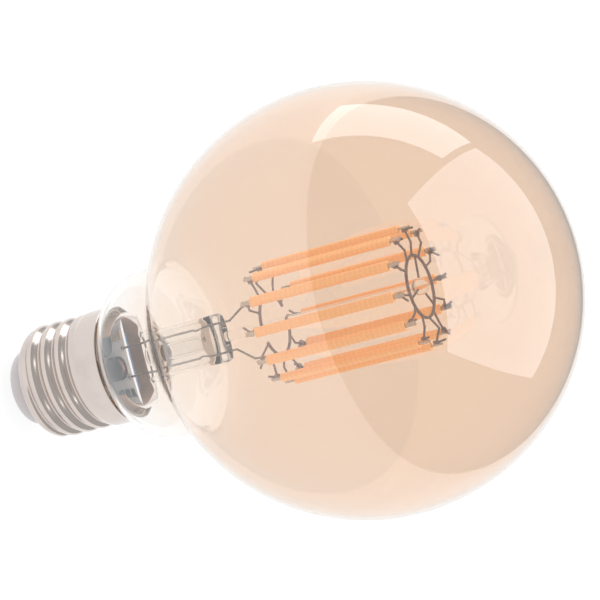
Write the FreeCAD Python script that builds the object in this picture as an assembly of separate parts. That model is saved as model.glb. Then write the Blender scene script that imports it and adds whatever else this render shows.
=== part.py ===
import FreeCAD, Part
import math
import os

# Smart light bulb: clear globe, screw cap, filament cage and driver.
# Millimetres. +Z runs from the centre contact (z = 0) up the bulb axis.

# Globe and neck glass
GLOBE_DIAMETER = 95.0
GLASS_WALL = 0.8
NECK_DIAMETER = 38.2
NECK_HEIGHT = 14.5
NECK_FILLET = 4.0
LIP_DEPTH = 4.6
SHOULDER_ROOT = 1.2
SHOULDER_ANGLE = 65.0

# Screw cap
CAP_HEIGHT = 27.0
CAP_SHEET = 0.3
THREAD_MAJOR = 26.2
THREAD_DEPTH = 1.0
THREAD_PITCH = 3.629
THREAD_START = 8.2
THREAD_END = 21.2
THREAD_FADE = 2.0
SKIRT_STEP = 0.1
SKIRT_FLARE = 0.25
MOUTH_DIAMETER = 17.2
MOUTH_HEIGHT = 5.0

# Cap insulator and centre contact
CONTACT_DIAMETER = 9.5
CONTACT_THICKNESS = 0.8
CONTACT_EDGE = 0.4
EYELET_CLEARANCE = 0.25
EYELET_WALL = 0.3
INSULATOR_TOP = 7.6
FLANGE_CLEARANCE = 1.2
DOME_BULGE = 1.7
CRIMP_CLEARANCE = 0.05
CEMENT_GAP = 0.6

# Glass mount inside the bulb
SEAL_BAND = 2.5
BELL_STEP = 0.3
BELL_HEIGHT = 7.0
BELL_SHOULDER = 5.0
STEM_DIAMETER = 11.0
PRESS_THICKNESS = 4.0
PRESS_HEIGHT = 4.5
ROD_DIAMETER = 2.2
BEAD_DIAMETER = 3.8
EXHAUST_DIAMETER = 4.2
EXHAUST_WALL = 0.7
EXHAUST_LENGTH = 12.0

# Filament cage
FILAMENT_COUNT = 12
FILAMENT_LENGTH = 38.0
TAB_LENGTH = 2.5
COAT_WIDTH = 2.2
COAT_THICKNESS = 1.6
STRIP_WIDTH = 1.0
STRIP_THICKNESS = 0.4
CAGE_RADIUS = 13.1
CAGE_DROP = 4.5
CAGE_TURN = 3.0
FRAME_RADIUS = 6.9
RING_WIRE = 0.7
ARM_WIRE = 0.5
HOOK_LENGTH = 1.6
KINK_DEPTH = 1.3
FAN_HEIGHT = 12.4
LEAD_WIRE = 0.5
LEAD_SPACING = 6.6
FRAME_GAP_ANGLE = 24.0
SPOKE_COUNT = 3
WELD_DIAMETER = 1.3

# Driver board and what sits on it
BOARD_THICKNESS = 1.0
BOARD_BOTTOM = 12.5
BOARD_FACE_Y = 1.5
SLEEVE_WALL = 0.25
SLEEVE_OVERHANG = 1.2
WINDOW_WIDTH = 13.0
WINDOW_HEIGHT = 8.0
CAPACITOR_DIAMETER = 6.3
CAPACITOR_LENGTH = 8.0
INDUCTOR_DIAMETER = 5.6
INDUCTOR_HEIGHT = 3.6
RECTIFIER_SIDE = 4.7
CHIP_LENGTH = 4.9
RESISTOR_DIAMETER = 2.4
RESISTOR_LENGTH = 6.5
MODULE_WIDTH = 13.0
MODULE_HEIGHT = 10.5
MODULE_THICKNESS = 0.8
SHIELD_HEIGHT = 6.0
SHIELD_DEPTH = 1.8
COPPER_THICKNESS = 0.1
SOLDER_SHARE = 1.5
SOLDER_GAP = 0.15
HOOKUP_WIRE = 0.9
SMALL_PART_LENGTH = 2.0
SMALL_RESISTOR_X = 7.0
SMALL_CAPACITOR_X = -6.4
LIVE_PAD_X = -2.25
NEUTRAL_PAD_X = 4.5

# Heights that follow from the sizes above
GLOBE_RADIUS = GLOBE_DIAMETER / 2
NECK_RADIUS = NECK_DIAMETER / 2
THREAD_MINOR = THREAD_MAJOR - 2 * THREAD_DEPTH
SKIRT_RADIUS = THREAD_MAJOR / 2 + SKIRT_STEP
SKIRT_INNER = SKIRT_RADIUS - CAP_SHEET
LIP_RADIUS = SKIRT_INNER - CEMENT_GAP
NECK_TOP = CAP_HEIGHT + NECK_HEIGHT
GLOBE_RISE = math.sqrt((GLOBE_RADIUS + NECK_FILLET) ** 2 - (NECK_RADIUS + NECK_FILLET) ** 2)
GLOBE_CENTRE = NECK_TOP + GLOBE_RISE
CAGE_CENTRE = GLOBE_CENTRE - CAGE_DROP
STRIP_BOTTOM = CAGE_CENTRE - FILAMENT_LENGTH / 2
STRIP_TOP = CAGE_CENTRE + FILAMENT_LENGTH / 2
LOWER_FRAME_Z = STRIP_BOTTOM + TAB_LENGTH / 2
UPPER_FRAME_Z = STRIP_TOP - TAB_LENGTH / 2
PRESS_TOP = LOWER_FRAME_Z - FAN_HEIGHT
PRESS_BOTTOM = PRESS_TOP - PRESS_HEIGHT
LIP_BOTTOM = CAP_HEIGHT - LIP_DEPTH
SEAL_RADIUS = LIP_RADIUS - GLASS_WALL
BELL_RADIUS = SEAL_RADIUS - BELL_STEP
BELL_TOP = CAP_HEIGHT + BELL_HEIGHT
STEM_RADIUS = STEM_DIAMETER / 2
SLEEVE_RADIUS = BELL_RADIUS - GLASS_WALL
SLEEVE_TOP = BELL_TOP - BELL_SHOULDER
BOARD_TOP = SLEEVE_TOP - SLEEVE_OVERHANG
BOARD_HEIGHT = BOARD_TOP - BOARD_BOTTOM
BOARD_BACK_Y = BOARD_FACE_Y + BOARD_THICKNESS
MODULE_BACK_Y = BOARD_BACK_Y + MODULE_THICKNESS
EYELET_INNER = HOOKUP_WIRE / 2 + EYELET_CLEARANCE
EYELET_OUTER = EYELET_INNER + EYELET_WALL
EYELET_TOP = INSULATOR_TOP + CONTACT_THICKNESS

AXIS = FreeCAD.Vector(0, 0, 1)
DEPTH = FreeCAD.Vector(0, 1, 0)
ORIGIN = FreeCAD.Vector(0, 0, 0)


def point(radius, z):
    """A point in the half plane that profiles are drawn in."""
    return FreeCAD.Vector(radius, 0, z)


def around(radius, degrees, z):
    """A point at a radius and angle about the bulb axis."""
    turn = math.radians(degrees)
    return FreeCAD.Vector(radius * math.cos(turn), radius * math.sin(turn), z)


def arc(centre, radius, start, end):
    """An arc in the profile plane, angles in degrees from the +radius direction."""
    spots = []
    for step in range(3):
        turn = math.radians(start + (end - start) * step / 2)
        spots.append(centre + point(radius * math.cos(turn), radius * math.sin(turn)))
    return Part.Arc(spots[0], spots[1], spots[2]).toShape()


def spin(edges):
    """Revolve a closed chain of profile edges about the bulb axis."""
    face = Part.Face(Part.Wire(edges))
    return face.revolve(ORIGIN, AXIS, 360)


def spin_points(spots):
    """Revolve a closed polygon given by its corners."""
    return spin(Part.makePolygon(spots + [spots[0]]).Edges)


def rod(start, end, diameter):
    """A straight round bar between two points."""
    along = end - start
    return Part.makeCylinder(diameter / 2, along.Length, start, along)


def bent_wire(spots, diameter):
    """Round wire through a chain of points, mitred at each bend."""
    path = Part.makePolygon(spots)
    ring = Part.Wire(Part.makeCircle(diameter / 2, spots[0], spots[1] - spots[0]))
    mitred = 1
    return path.makePipeShell([ring], True, False, mitred)


def tube(outer, inner, bottom, top):
    """A round tube standing on the bulb axis, radii given."""
    body = Part.makeCylinder(outer, top - bottom, point(0, bottom))
    return body.cut(Part.makeCylinder(inner, top - bottom, point(0, bottom)))


def block(width, depth, height, x, y, z):
    """A box centred on x, starting at y and z."""
    return Part.makeBox(width, depth, height, FreeCAD.Vector(x - width / 2, y, z))


def glass_profile(inset):
    """The neck and globe outline from lip to crown, moved in by inset."""
    angle = math.radians(SHOULDER_ANGLE)
    root = point(LIP_RADIUS + SHOULDER_ROOT, CAP_HEIGHT - SHOULDER_ROOT / 2)
    meet = root + point(-SHOULDER_ROOT * math.cos(angle), SHOULDER_ROOT * math.sin(angle))
    round_radius = (NECK_RADIUS - meet.x) / (1 - math.cos(angle))
    round_centre = meet + point(-round_radius * math.cos(angle), round_radius * math.sin(angle))
    fillet = point(NECK_RADIUS + NECK_FILLET, NECK_TOP)
    globe = point(0, GLOBE_CENTRE)
    tilt = math.degrees(math.atan2(GLOBE_RISE, NECK_RADIUS + NECK_FILLET))
    lip = point(LIP_RADIUS - inset, LIP_BOTTOM)
    edges = [Part.makeLine(lip, point(LIP_RADIUS - inset, root.z))]
    edges.append(arc(root, SHOULDER_ROOT + inset, 180, 180 - SHOULDER_ANGLE))
    edges.append(arc(round_centre, round_radius - inset, -SHOULDER_ANGLE, 0))
    straight_end = point(NECK_RADIUS - inset, NECK_TOP)
    edges.append(Part.makeLine(point(NECK_RADIUS - inset, round_centre.z), straight_end))
    edges.append(arc(fillet, NECK_FILLET + inset, 180, 180 - tilt))
    edges.append(arc(globe, GLOBE_RADIUS - inset, -tilt, 90))
    return edges


def make_globe():
    """The blown glass envelope with its neck and sealing lip."""
    outer = glass_profile(0)
    inner = glass_profile(GLASS_WALL)
    foot = Part.makeLine(point(LIP_RADIUS, LIP_BOTTOM), point(SEAL_RADIUS, LIP_BOTTOM))
    top = GLOBE_CENTRE + GLOBE_RADIUS
    crown = Part.makeLine(point(0, top), point(0, top - GLASS_WALL))
    return spin(Part.sortEdges(outer + inner + [foot, crown])[0])


def bell_dome(wide, narrow, bottom, top):
    """The rounded shoulder between a wide and a narrow tube, as one smooth edge."""
    spots = []
    for step in range(7):
        turn = step / 6 * math.pi / 2
        radius = narrow + (wide - narrow) * math.cos(turn)
        spots.append(point(radius, bottom + (top - bottom) * math.sin(turn)))
    curve = Part.BSplineCurve()
    curve.interpolate(spots)
    return curve.toShape()


def make_stem(wires):
    """The bell, tube and pinched press of clear glass, pierced by the lead wires."""
    band = LIP_BOTTOM + SEAL_BAND
    stem_inner = STEM_RADIUS - GLASS_WALL
    under = BELL_TOP - GLASS_WALL
    outside = [point(SEAL_RADIUS, LIP_BOTTOM), point(SEAL_RADIUS, band)]
    outside += [point(BELL_RADIUS, band + BELL_STEP), point(BELL_RADIUS, SLEEVE_TOP)]
    inside = [point(SLEEVE_RADIUS, SLEEVE_TOP), point(SLEEVE_RADIUS, LIP_BOTTOM), outside[0]]
    tube_end = [point(STEM_RADIUS, BELL_TOP), point(STEM_RADIUS, PRESS_BOTTOM)]
    tube_end += [point(stem_inner, PRESS_BOTTOM), point(stem_inner, under)]
    edges = Part.makePolygon(outside).Edges + Part.makePolygon(inside).Edges
    edges += Part.makePolygon(tube_end).Edges
    edges.append(bell_dome(BELL_RADIUS, STEM_RADIUS, SLEEVE_TOP, BELL_TOP))
    edges.append(bell_dome(SLEEVE_RADIUS, stem_inner, SLEEVE_TOP, under))
    bell = spin(Part.sortEdges(edges)[0])
    press = block(STEM_DIAMETER, PRESS_THICKNESS, PRESS_HEIGHT, 0, -PRESS_THICKNESS / 2, PRESS_BOTTOM)
    press = press.common(Part.makeCylinder(STEM_RADIUS, PRESS_HEIGHT, point(0, PRESS_BOTTOM)))
    cap = Part.makeCylinder(STEM_RADIUS, GLASS_WALL, point(0, PRESS_BOTTOM))
    taper_base = point(0, PRESS_BOTTOM + GLASS_WALL)
    taper = Part.makeCone(STEM_RADIUS, PRESS_THICKNESS / 2, PRESS_HEIGHT / 2, taper_base)
    glass = bell.multiFuse([press, cap, taper])
    return glass.cut(wires)


def make_exhaust():
    """The sealed-off pumping tube that hangs inside the stem."""
    outer = EXHAUST_DIAMETER / 2
    inner = outer - EXHAUST_WALL
    bottom = PRESS_BOTTOM - EXHAUST_LENGTH
    straight = tube(outer, inner, bottom, PRESS_BOTTOM)
    ball = Part.makeSphere(outer, point(0, bottom))
    half = ball.common(Part.makeCylinder(outer, outer, point(0, bottom - outer)))
    return straight.fuse(half)


def make_rod():
    """The glass rod on the axis with the bead that carries the upper frame."""
    shaft = Part.makeCylinder(ROD_DIAMETER / 2, UPPER_FRAME_Z - PRESS_TOP, point(0, PRESS_TOP))
    return shaft.fuse(Part.makeSphere(BEAD_DIAMETER / 2, point(0, UPPER_FRAME_Z)))


def filament_angle(index):
    """Angle of one filament about the axis, the first nearest the front."""
    return -90 + CAGE_TURN + index * 360 / FILAMENT_COUNT


def turned(shape, degrees):
    """A copy of a shape turned about the bulb axis."""
    copy = shape.copy()
    copy.rotate(ORIGIN, AXIS, degrees)
    return copy


def make_strip():
    """One filament carrier strip with its bare end tabs, at angle zero."""
    x = CAGE_RADIUS - STRIP_THICKNESS / 2
    corner = FreeCAD.Vector(x, -STRIP_WIDTH / 2, STRIP_BOTTOM)
    return Part.makeBox(STRIP_THICKNESS, STRIP_WIDTH, FILAMENT_LENGTH, corner)


def make_coat(strip):
    """The phosphor sleeve round one strip, at angle zero."""
    length = FILAMENT_LENGTH - 2 * TAB_LENGTH
    corner = FreeCAD.Vector(CAGE_RADIUS - COAT_THICKNESS / 2, -COAT_WIDTH / 2, STRIP_BOTTOM + TAB_LENGTH)
    body = Part.makeBox(COAT_THICKNESS, COAT_WIDTH, length, corner)
    sides = [edge for edge in body.Edges if abs(edge.tangentAt(edge.FirstParameter).z) > 0.5]
    body = body.makeFillet(COAT_THICKNESS * 0.4, sides)
    return body.cut(strip)


def frame_arm(index, ring_z, outward, ring):
    """One kinked arm from a frame ring to a filament tab, with its weld and free end."""
    angle = filament_angle(index)
    wander = math.sin(2.4 * index + outward)
    tab = CAGE_RADIUS - STRIP_THICKNESS / 2
    reach = tab - ARM_WIRE / 2
    kink_z = ring_z + outward * KINK_DEPTH * (0.6 + 0.4 * wander)
    kink = around((FRAME_RADIUS + reach) / 2, angle + 5 * wander, kink_z)
    end = around(reach, angle, ring_z)
    tip = around(reach, angle + 9 * wander, ring_z + outward * HOOK_LENGTH)
    arm = bent_wire([around(FRAME_RADIUS, angle, ring_z), kink, end, tip], ARM_WIRE)
    weld = rod(around(tab - 2 * STRIP_THICKNESS, angle, ring_z), around(tab, angle, ring_z), WELD_DIAMETER)
    return arm.fuse(weld).cut(ring)


def ring_wire(degrees):
    """Ring wire swept round the axis from angle zero, the seam of its surface on top."""
    section = Part.Wire(Part.makeCircle(RING_WIRE / 2, point(FRAME_RADIUS, 0), DEPTH))
    section.rotate(point(FRAME_RADIUS, 0), DEPTH, -90)
    return Part.Face(section).revolve(ORIGIN, AXIS, degrees)


def make_upper_ring():
    """The closed wire ring that joins all the upper arms."""
    ring = ring_wire(360)
    ring.translate(point(0, UPPER_FRAME_Z))
    return ring


def make_upper_arms(ring):
    """The arms from the upper ring out to the filament tabs."""
    arms = [frame_arm(index, UPPER_FRAME_Z, 1, ring) for index in range(FILAMENT_COUNT)]
    return Part.makeCompound(arms)


def half_start(side):
    """Angle where one lower half ring begins, midway between two filaments plus the gap."""
    start = filament_angle(0.5) + FRAME_GAP_ANGLE / 2
    if side < 0:
        start += 180
    return start


def make_lower_ring(side):
    """Half of the lower ring, feeding the filaments on one side of the cage."""
    ring = ring_wire(180 - FRAME_GAP_ANGLE)
    ring.rotate(ORIGIN, AXIS, half_start(side))
    ring.translate(point(0, LOWER_FRAME_Z))
    return ring


def make_lower_arms(side, ring):
    """The arms from one lower half ring out to its filament tabs."""
    arms = []
    for index in range(FILAMENT_COUNT):
        from_start = (filament_angle(index) - half_start(side)) % 360
        if from_start < 180 - FRAME_GAP_ANGLE:
            arms.append(frame_arm(index, LOWER_FRAME_Z, -1, ring))
    return Part.makeCompound(arms)


def make_spokes(centre_rod, ring):
    """Short wires from the rod bead out to the upper ring."""
    spokes = []
    for index in range(SPOKE_COUNT):
        angle = CAGE_TURN + 45 + index * 360 / SPOKE_COUNT
        spoke = rod(point(0, UPPER_FRAME_Z), around(FRAME_RADIUS, angle, UPPER_FRAME_Z), ARM_WIRE)
        spokes.append(spoke.cut([centre_rod, ring]))
    return Part.makeCompound(spokes)


def make_lead(side, ring):
    """A lead wire from the driver board through the press to a lower half ring."""
    x = side * LEAD_SPACING / 2
    wire_y = BOARD_FACE_Y - SOLDER_GAP - LEAD_WIRE / 2
    path = [FreeCAD.Vector(x, wire_y, BOARD_TOP - SOLDER_SHARE * LEAD_WIRE)]
    path.append(FreeCAD.Vector(x, wire_y, BOARD_TOP + SLEEVE_OVERHANG))
    path.append(FreeCAD.Vector(x, 0, BELL_TOP + GLASS_WALL))
    path.append(FreeCAD.Vector(x, 0, PRESS_TOP + FAN_HEIGHT * 0.15))
    path.append(FreeCAD.Vector(side * FRAME_RADIUS * 0.9, -side * KINK_DEPTH, PRESS_TOP + FAN_HEIGHT * 0.5))
    path.append(FreeCAD.Vector(side * FRAME_RADIUS, 0, LOWER_FRAME_Z))
    return bent_wire(path, LEAD_WIRE).cut(ring)


def shell_profile(z):
    """Plain radius of the cap shell at a height, before the thread is pressed in."""
    mean = (THREAD_MAJOR - THREAD_DEPTH) / 2
    mouth = MOUTH_DIAMETER / 2
    low = min(1, (z - MOUTH_HEIGHT) / (THREAD_START - MOUTH_HEIGHT))
    radius = mouth + (mean - mouth) * math.sqrt(max(0, 1 - (1 - low) ** 2))
    high = max(0, min(1, (z - THREAD_END + THREAD_FADE / 2) / THREAD_FADE))
    radius += (SKIRT_RADIUS - mean) * high * high * (3 - 2 * high)
    flare = max(0, (z - CAP_HEIGHT + 1) / 1)
    return radius + SKIRT_FLARE * flare * flare


def thread_share(z):
    """How much of the full thread depth is present at a height."""
    rise = max(0, min(1, (z - THREAD_START + THREAD_FADE / 2) / THREAD_FADE))
    fall = max(0, min(1, (THREAD_END - z) / THREAD_FADE))
    return math.sin(rise * math.pi / 2) * math.sin(fall * math.pi / 2)


def shell_heights():
    """Heights of the shell rows, closer together round the mouth."""
    heights = []
    for step in range(8):
        share = (step / 8) ** 2
        heights.append(MOUTH_HEIGHT + share * (THREAD_START - MOUTH_HEIGHT))
    rows = 54
    for step in range(rows + 1):
        heights.append(THREAD_START + step * (CAP_HEIGHT - THREAD_START) / rows)
    return heights


def shell_wall(inset):
    """One wall of the shell as a smooth face, moved in along the profile normal."""
    columns = 36
    depth = THREAD_DEPTH / 2
    grid = []
    for z in shell_heights():
        below = max(MOUTH_HEIGHT, z - 0.05)
        above = min(CAP_HEIGHT, z + 0.05)
        slope = (shell_profile(above) - shell_profile(below)) / (above - below)
        length = math.hypot(1, slope)
        radius = shell_profile(z) - inset / length
        height = z + inset * slope / length
        row = []
        for step in range(columns + 1):
            turn = 2 * math.pi * (step % columns) / columns
            wave = math.cos(2 * math.pi * z / THREAD_PITCH - turn)
            reach = radius + depth * thread_share(z) * wave
            row.append(around(reach, math.degrees(turn), height))
        grid.append(row)
    surface = Part.BSplineSurface()
    surface.interpolate(grid)
    return surface


def make_screw_shell():
    """The rolled sheet screw shell with its turned-in mouth and plain skirt."""
    outer = shell_wall(0)
    inner = shell_wall(CAP_SHEET)
    faces = [outer.toShape(), inner.toShape()]
    first, last = 0, 1
    for share in (first, last):
        rims = []
        for wall in (outer, inner):
            bounds = wall.bounds()
            rims.append(wall.uIso(bounds[0] + share * (bounds[1] - bounds[0])).toShape())
        faces.append(Part.makeRuledSurface(rims[0], rims[1]))
    shell = Part.makeShell(faces)
    shell.sewShape()
    solid = Part.makeSolid(Part.Shell(shell.Faces))
    if solid.Volume < 0:
        solid.reverse()
    return solid


def make_insulator():
    """The white insulator that closes the cap mouth and carries the contact."""
    mouth = MOUTH_DIAMETER / 2 - CRIMP_CLEARANCE
    base = CONTACT_DIAMETER / 2 + CONTACT_EDGE
    start = point(base, CONTACT_THICKNESS)
    end = point(mouth, MOUTH_HEIGHT)
    middle = (start + end) * 0.5 + point(DOME_BULGE * 0.8, -DOME_BULGE * 0.6)
    dome = Part.Arc(start, middle, end).toShape()
    flange_z = MOUTH_HEIGHT + 3 * CAP_SHEET
    flange = shell_profile(flange_z) - FLANGE_CLEARANCE
    corners = [end, point(mouth, flange_z), point(flange, flange_z), point(flange, INSULATOR_TOP)]
    corners += [point(EYELET_OUTER, INSULATOR_TOP), point(EYELET_OUTER, CONTACT_THICKNESS), start]
    return spin([dome] + Part.makePolygon(corners).Edges)


def make_contact():
    """The centre contact plate with the hollow eyelet through the insulator."""
    rim = CONTACT_DIAMETER / 2
    inner = EYELET_INNER
    outer = EYELET_OUTER
    corners = [point(inner, CONTACT_EDGE), point(0, CONTACT_EDGE), point(0, 0)]
    corners += [point(rim - CONTACT_EDGE, 0), point(rim, CONTACT_EDGE), point(rim, CONTACT_THICKNESS)]
    corners += [point(outer, CONTACT_THICKNESS), point(outer, EYELET_TOP), point(inner, EYELET_TOP)]
    return spin_points(corners)


def make_cement():
    """The cement ring that bonds the neck lip into the skirt."""
    outside = SKIRT_INNER - CRIMP_CLEARANCE
    return tube(outside, LIP_RADIUS, LIP_BOTTOM, CAP_HEIGHT - SHOULDER_ROOT)


def make_live_wire():
    """The wire from the centre eyelet up to the driver board."""
    board_y = BOARD_FACE_Y - SOLDER_GAP - HOOKUP_WIRE / 2
    path = [point(0, CONTACT_EDGE), point(0, EYELET_TOP + HOOKUP_WIRE)]
    path.append(FreeCAD.Vector(LIVE_PAD_X, board_y, BOARD_BOTTOM - HOOKUP_WIRE))
    path.append(FreeCAD.Vector(LIVE_PAD_X, board_y, BOARD_BOTTOM + SOLDER_SHARE * HOOKUP_WIRE))
    return bent_wire(path, HOOKUP_WIRE)


def make_neutral_wire():
    """The wire from the driver board round to the inside of the screw shell."""
    board_y = BOARD_FACE_Y - SOLDER_GAP - HOOKUP_WIRE / 2
    wall = THREAD_MINOR / 2 - CAP_SHEET - HOOKUP_WIRE / 2
    path = [FreeCAD.Vector(NEUTRAL_PAD_X, board_y, BOARD_BOTTOM + SOLDER_SHARE * HOOKUP_WIRE)]
    path.append(FreeCAD.Vector(NEUTRAL_PAD_X, board_y, BOARD_BOTTOM - HOOKUP_WIRE))
    path.append(FreeCAD.Vector(wall * 0.8, 0, BOARD_BOTTOM - 3 * HOOKUP_WIRE))
    path.append(FreeCAD.Vector(wall, 0, BOARD_BOTTOM - 2 * HOOKUP_WIRE))
    return bent_wire(path, HOOKUP_WIRE)


def make_sleeve():
    """The insulating film sleeve round the driver, open at the front window."""
    body = tube(SLEEVE_RADIUS, SLEEVE_RADIUS - SLEEVE_WALL, BOARD_BOTTOM - SLEEVE_OVERHANG, SLEEVE_TOP)
    bottom = SLEEVE_TOP - WINDOW_HEIGHT
    return body.cut(block(WINDOW_WIDTH, SLEEVE_RADIUS, WINDOW_HEIGHT, 0, -SLEEVE_RADIUS, bottom))


def make_board():
    """The driver board, as wide as the sleeve allows at its back face."""
    reach = SLEEVE_RADIUS - SLEEVE_WALL
    width = 2 * math.sqrt(reach ** 2 - BOARD_BACK_Y ** 2)
    return block(width, BOARD_THICKNESS, BOARD_HEIGHT, 0, BOARD_FACE_Y, BOARD_BOTTOM)


def make_capacitor():
    """The electrolytic capacitor lying along the front of the board."""
    radius = CAPACITOR_DIAMETER / 2
    x = -CAPACITOR_DIAMETER * 0.9
    base = FreeCAD.Vector(x, BOARD_FACE_Y - radius, BOARD_BOTTOM + 2.2 * SOLDER_SHARE * HOOKUP_WIRE)
    can = Part.makeCylinder(radius, CAPACITOR_LENGTH, base)
    ends = [edge for edge in can.Edges if edge.Closed]
    return can.makeFillet(radius * 0.12, ends)


def inductor_place():
    """Where the drum inductor stands on the front face of the board."""
    return FreeCAD.Vector(INDUCTOR_DIAMETER * 0.15, BOARD_FACE_Y, BOARD_TOP - INDUCTOR_DIAMETER * 0.68)


def make_inductor_core():
    """The ferrite drum of the inductor, axis square to the board."""
    radius = INDUCTOR_DIAMETER / 2
    base = inductor_place()
    flange = INDUCTOR_HEIGHT / 6
    lower = Part.makeCylinder(radius, flange, base, -DEPTH)
    upper = Part.makeCylinder(radius, flange, base - DEPTH * (INDUCTOR_HEIGHT - flange), -DEPTH)
    post = Part.makeCylinder(radius / 2, INDUCTOR_HEIGHT, base, -DEPTH)
    return post.multiFuse([lower, upper])


def make_winding():
    """The copper winding between the two flanges of the drum."""
    radius = INDUCTOR_DIAMETER / 2
    flange = INDUCTOR_HEIGHT / 6
    base = inductor_place() - DEPTH * flange
    length = INDUCTOR_HEIGHT - 2 * flange
    outer = Part.makeCylinder(radius * 0.86, length, base, -DEPTH)
    return outer.cut(Part.makeCylinder(radius / 2, length, base, -DEPTH))


def make_chip():
    """The driver chip with two rows of gull-wing legs."""
    depth = CHIP_LENGTH * 0.3
    width = CHIP_LENGTH * 0.8
    x = CHIP_LENGTH
    bottom = BOARD_BOTTOM + 2.6 * SOLDER_SHARE * HOOKUP_WIRE
    body = block(width, depth, CHIP_LENGTH, x, BOARD_FACE_Y - depth, bottom)
    legs = []
    for row in range(4):
        z = bottom + CHIP_LENGTH * (row + 0.35) / 4
        span = width * 1.5
        legs.append(block(span, depth / 3, CHIP_LENGTH * 0.08, x, BOARD_FACE_Y - depth / 3, z))
    return body.multiFuse(legs)


def make_rectifier():
    """The bridge rectifier low on the back of the board."""
    bottom = BOARD_BOTTOM + COPPER_THICKNESS
    body = block(RECTIFIER_SIDE, RECTIFIER_SIDE / 2, RECTIFIER_SIDE * 0.85, 0, BOARD_BACK_Y, bottom)
    body.translate(FreeCAD.Vector(-RECTIFIER_SIDE, 0, 0))
    return body


def make_fuse_resistor():
    """The fusible resistor lying across the back of the board."""
    radius = RESISTOR_DIAMETER / 2
    base = FreeCAD.Vector(0, BOARD_BACK_Y + radius, BOARD_BOTTOM + RESISTOR_DIAMETER)
    body = Part.makeCylinder(radius, RESISTOR_LENGTH, base, FreeCAD.Vector(1, 0, 0))
    return body.makeFillet(radius * 0.4, [edge for edge in body.Edges if edge.Closed])


def make_module():
    """The wireless module board, soldered flat on the back of the driver board."""
    return block(MODULE_WIDTH, MODULE_THICKNESS, MODULE_HEIGHT, 0, BOARD_BACK_Y, BOARD_TOP - MODULE_HEIGHT)


def make_shield():
    """The pressed shield can over the radio on the module."""
    bottom = BOARD_TOP - MODULE_HEIGHT + COPPER_THICKNESS
    width = MODULE_WIDTH * 0.84
    can = block(width, SHIELD_DEPTH, SHIELD_HEIGHT, 0, MODULE_BACK_Y, bottom)
    wall = CAP_SHEET
    room = SHIELD_HEIGHT - 2 * wall
    hollow = block(width - 2 * wall, SHIELD_DEPTH - wall, room, 0, MODULE_BACK_Y, bottom + wall)
    return can.cut(hollow)


def make_antenna():
    """The meander copper antenna printed above the shield can."""
    line = COPPER_THICKNESS * 5
    zone_bottom = BOARD_TOP - MODULE_HEIGHT + SHIELD_HEIGHT + 2 * line
    height = BOARD_TOP - line - zone_bottom
    count = 7
    pitch = MODULE_WIDTH * 0.7 / (count - 1)
    pieces = []
    for index in range(count):
        x = (index - (count - 1) / 2) * pitch
        pieces.append(block(line, COPPER_THICKNESS, height, x, MODULE_BACK_Y, zone_bottom))
        if index:
            z = zone_bottom if index % 2 else zone_bottom + height - line
            pieces.append(block(pitch, COPPER_THICKNESS, line, x - pitch / 2, MODULE_BACK_Y, z))
    return pieces[0].multiFuse(pieces[1:])


def chip_row(count, x):
    """A column of small surface-mount parts down the front of the board from its top edge."""
    length = SMALL_PART_LENGTH
    depth = length * 0.35
    parts = []
    for index in range(count):
        z = BOARD_TOP - length * (index + 0.9)
        parts.append(block(length, depth, length * 0.55, x, BOARD_FACE_Y - depth, z))
    return parts


def make_small_resistors():
    """The surface-mount resistors beside the inductor."""
    return Part.makeCompound(chip_row(3, SMALL_RESISTOR_X))


def make_small_capacitors():
    """The surface-mount capacitors on the other side of the inductor."""
    return Part.makeCompound(chip_row(2, SMALL_CAPACITOR_X))


def solder_at(x, z, wire_diameter, wire):
    """A rounded solder joint on the board face, round the end of one wire."""
    radius = SOLDER_SHARE * wire_diameter
    joint = Part.makeSphere(radius, FreeCAD.Vector(x, BOARD_FACE_Y, z))
    front = block(2 * radius, radius, 2 * radius, x, BOARD_FACE_Y - radius, z - radius)
    return joint.common(front).cut(wire)


def make_solder(leads, live, neutral):
    """The solder joints of the wires on the front face of the board."""
    joints = []
    lead_z = BOARD_TOP - SOLDER_SHARE * LEAD_WIRE
    hookup_z = BOARD_BOTTOM + SOLDER_SHARE * HOOKUP_WIRE
    joints.append(solder_at(LEAD_SPACING / 2, lead_z, LEAD_WIRE, leads[0]))
    joints.append(solder_at(-LEAD_SPACING / 2, lead_z, LEAD_WIRE, leads[1]))
    joints.append(solder_at(LIVE_PAD_X, hookup_z, HOOKUP_WIRE, live))
    joints.append(solder_at(NEUTRAL_PAD_X, hookup_z, HOOKUP_WIRE, neutral))
    return Part.makeCompound(joints)


def make_shell_solder(shell, neutral):
    """The solder that joins the neutral wire to the inside of the screw shell."""
    wall = THREAD_MINOR / 2 - CAP_SHEET
    spot = FreeCAD.Vector(wall, 0, BOARD_BOTTOM - 2 * HOOKUP_WIRE)
    ball = Part.makeSphere(SOLDER_SHARE * HOOKUP_WIRE * 0.8, spot)
    inside = Part.makeCylinder(THREAD_MAJOR / 2, THREAD_END, point(0, 0)).cut(shell)
    pieces = ball.common(inside).cut(neutral).Solids
    return min(pieces, key=lambda piece: math.hypot(piece.CenterOfMass.x, piece.CenterOfMass.y))


def write(name, shape):
    """Write one node as a STEP file in the parts folder."""
    shape.exportStep(os.path.join("parts", name + ".step"))


def write_filaments(strip, coat):
    """Write every filament strip and coat, turned to its place in the cage."""
    for index in range(FILAMENT_COUNT):
        number = str(index + 1).zfill(2)
        write("filament_strip_" + number, turned(strip, filament_angle(index)))
        write("filament_coat_" + number, turned(coat, filament_angle(index)))


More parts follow.
